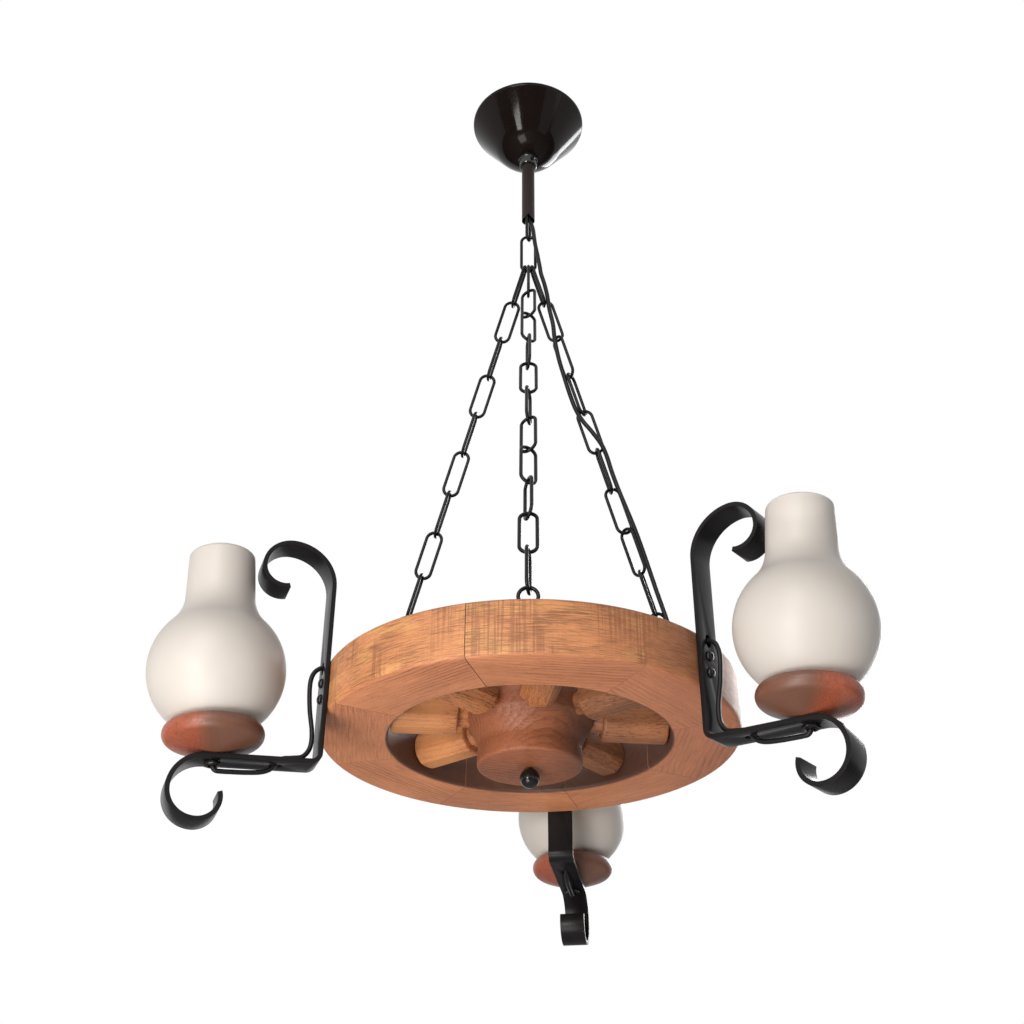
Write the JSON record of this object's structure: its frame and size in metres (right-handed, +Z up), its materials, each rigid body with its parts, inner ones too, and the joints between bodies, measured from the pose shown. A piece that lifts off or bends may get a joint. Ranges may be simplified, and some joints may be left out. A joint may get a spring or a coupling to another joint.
{
  "type": "wagon wheel chandelier",
  "caption": "Wooden wagon wheel hung on chains from a ceiling canopy, with scrolled iron arms that carry frosted glass lamp shades in turned wooden cups.",
  "frame": {"origin": "the point where the long stem link bears on its ceiling hook, on the wheel's axis", "axes": "+Z up along the wheel's axis; +Y towards the far arm; the ceiling is the plane z = +0.040 m"},
  "size_m": [0.6106, 0.5445, 0.9054],
  "materials": {
    "black_wire": "satin black enamel on steel wire",
    "black_iron": "satin black paint on flat iron",
    "black_gloss": "high gloss black paint",
    "black_nylon": "moulded, slightly worn",
    "brown_sleeve": "matt brownish-black sleeve",
    "black_sheath": "round black sheath, satin",
    "connector_plastic": "off-white moulded connector",
    "pine": "orange-brown stained pine, rough sawn on the rim",
    "walnut": "dark red-brown stain, turned and waxed",
    "frosted_glass": "acid-frosted white glass",
    "porcelain": "unglazed white lamp holder",
    "plated_steel": "zinc plated"
  },
  "bodies": {
    "stem": {"stem_link": "black_wire", "stem_sleeve": "brown_sleeve", "supply_upper": "black_sheath", "ceiling_connector": "connector_plastic", "supply_neck_upper": "black_sheath"},
    "canopy": {"canopy": "black_gloss", "cord_grip": "black_nylon", "grip_nut": "black_nylon", "grip_screw": "black_nylon"},
    "gather": {"gather_link": "black_wire", "supply_neck_lower": "black_sheath"},
    "chandelier": {"chain_near": "black_wire", "chain_left": "black_wire", "chain_right": "black_wire", "eye_screws": "black_wire", "supply_cable": "black_sheath", "wheel_connector": "connector_plastic", "rim_loom": "black_sheath", "felloe_1": "pine", "felloe_2": "pine", "felloe_3": "pine", "felloe_4": "pine", "felloe_5": "pine", "felloe_6": "pine", "felloe_7": "pine", "felloe_8": "pine", "spoke_1": "pine", "spoke_2": "pine", "spoke_3": "pine", "spoke_4": "pine", "spoke_5": "pine", "spoke_6": "pine", "spoke_7": "pine", "spoke_8": "pine", "hub": "pine", "hub_knob": "black_gloss", "arm_far": "black_iron", "arm_left": "black_iron", "arm_right": "black_iron", "arm_screws": "black_iron", "cup_far": "walnut", "cup_left": "walnut", "cup_right": "walnut", "lamp_tubes": "plated_steel", "holder_far": "porcelain", "holder_left": "porcelain", "holder_right": "porcelain", "arm_cable_far": "black_sheath", "arm_cable_left": "black_sheath", "arm_cable_right": "black_sheath"},
    "shade_far": {"shade_far": "frosted_glass"},
    "shade_left": {"shade_left": "frosted_glass"},
    "shade_right": {"shade_right": "frosted_glass"}
  },
  "joints": [
    {"name": "canopy_slide", "type": "slide", "parent": "stem", "child": "canopy", "axis": [0, 0, -1], "range_m": [0, 0.06]},
    {"name": "gather_swing", "type": "hinge", "parent": "stem", "child": "gather", "pos_m": [0, 0, -0.1459], "axis": [0.2198, 0.9755, 0], "range_deg": [-10, 10], "deforming": ["supply_neck_upper"]},
    {"name": "wheel_swing", "type": "hinge", "parent": "gather", "child": "chandelier", "pos_m": [0, 0, -0.1937], "axis": [0.9869, 0.1616, 0], "range_deg": [-10, 10], "deforming": ["supply_neck_lower"]},
    {"name": "shade_far_tilt", "type": "hinge", "parent": "chandelier", "child": "shade_far", "pos_m": [0, 0.31147, -0.78267], "axis": [-1, 0, 0], "range_deg": [0, 20]},
    {"name": "shade_left_tilt", "type": "hinge", "parent": "chandelier", "child": "shade_left", "pos_m": [-0.26974, -0.15574, -0.78267], "axis": [0.5, -0.866, 0], "range_deg": [0, 20]},
    {"name": "shade_right_tilt", "type": "hinge", "parent": "chandelier", "child": "shade_right", "pos_m": [0.26974, -0.15574, -0.78267], "axis": [0.5, 0.866, 0], "range_deg": [0, 20]}
  ]
}
